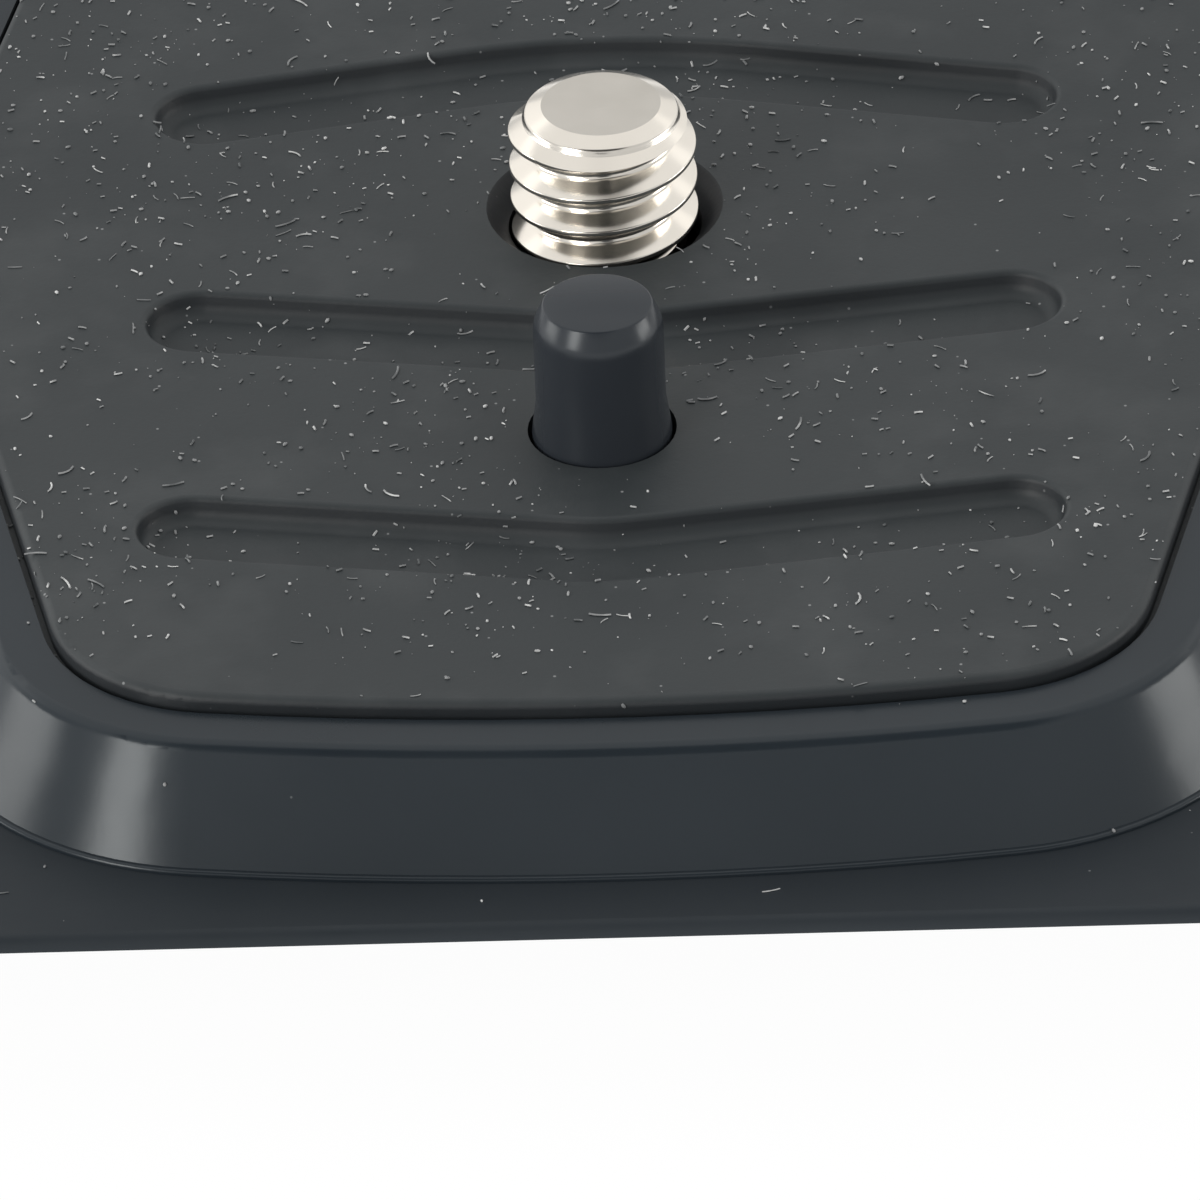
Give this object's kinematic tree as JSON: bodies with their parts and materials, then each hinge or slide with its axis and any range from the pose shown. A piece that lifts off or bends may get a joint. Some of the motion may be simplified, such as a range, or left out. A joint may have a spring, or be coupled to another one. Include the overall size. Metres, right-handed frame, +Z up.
{
  "type": "tripod quick release plate",
  "caption": "Quick release plate with a grooved rubber pad in a black moulded collar, a captive camera screw, a sprung anti-twist pin and a dovetail foot.",
  "frame": {"origin": "on the camera screw's axis, at the level of the foot's underside", "axes": "+Z up along the camera screw, +Y along the plate's length away from the anti-twist pin, +X to the right"},
  "size_m": [0.0578, 0.0744, 0.0154],
  "materials": {
    "pad_rubber": "matte",
    "black_plastic": "satin",
    "plated_steel": "polished",
    "dark_steel": "blackened"
  },
  "bodies": {
    "plate": {"rubber_pad": "pad_rubber", "top_shell": "black_plastic", "base_plate": "black_plastic", "fixing_screws": "dark_steel", "pin_spring": "plated_steel"},
    "clip": {"retaining_clip": "dark_steel"},
    "screw": {"camera_screw": "plated_steel"},
    "ring": {"ring_handle": "plated_steel"},
    "pin": {"anti_twist_pin": "black_plastic"}
  },
  "joints": [
    {"name": "screw_float", "type": "slide", "parent": "plate", "child": "clip", "axis": [0, 0, 1], "range_m": [0, 0.0007]},
    {"name": "screw_turn", "type": "hinge", "parent": "clip", "child": "screw", "pos_m": [0, 0, 0.0122], "axis": [0, 0, 1], "continuous": true},
    {"name": "ring_fold", "type": "hinge", "parent": "screw", "child": "ring", "pos_m": [0, 0, 0.00335], "axis": [-1, 0, 0], "range_deg": [0, 180]},
    {"name": "pin_press", "type": "slide", "parent": "plate", "child": "pin", "axis": [0, 0, -1], "range_m": [0, 0.0049], "stiffness_N_per_m": 150, "springref_m": -0.004, "deforming": ["pin_spring"]}
  ]
}
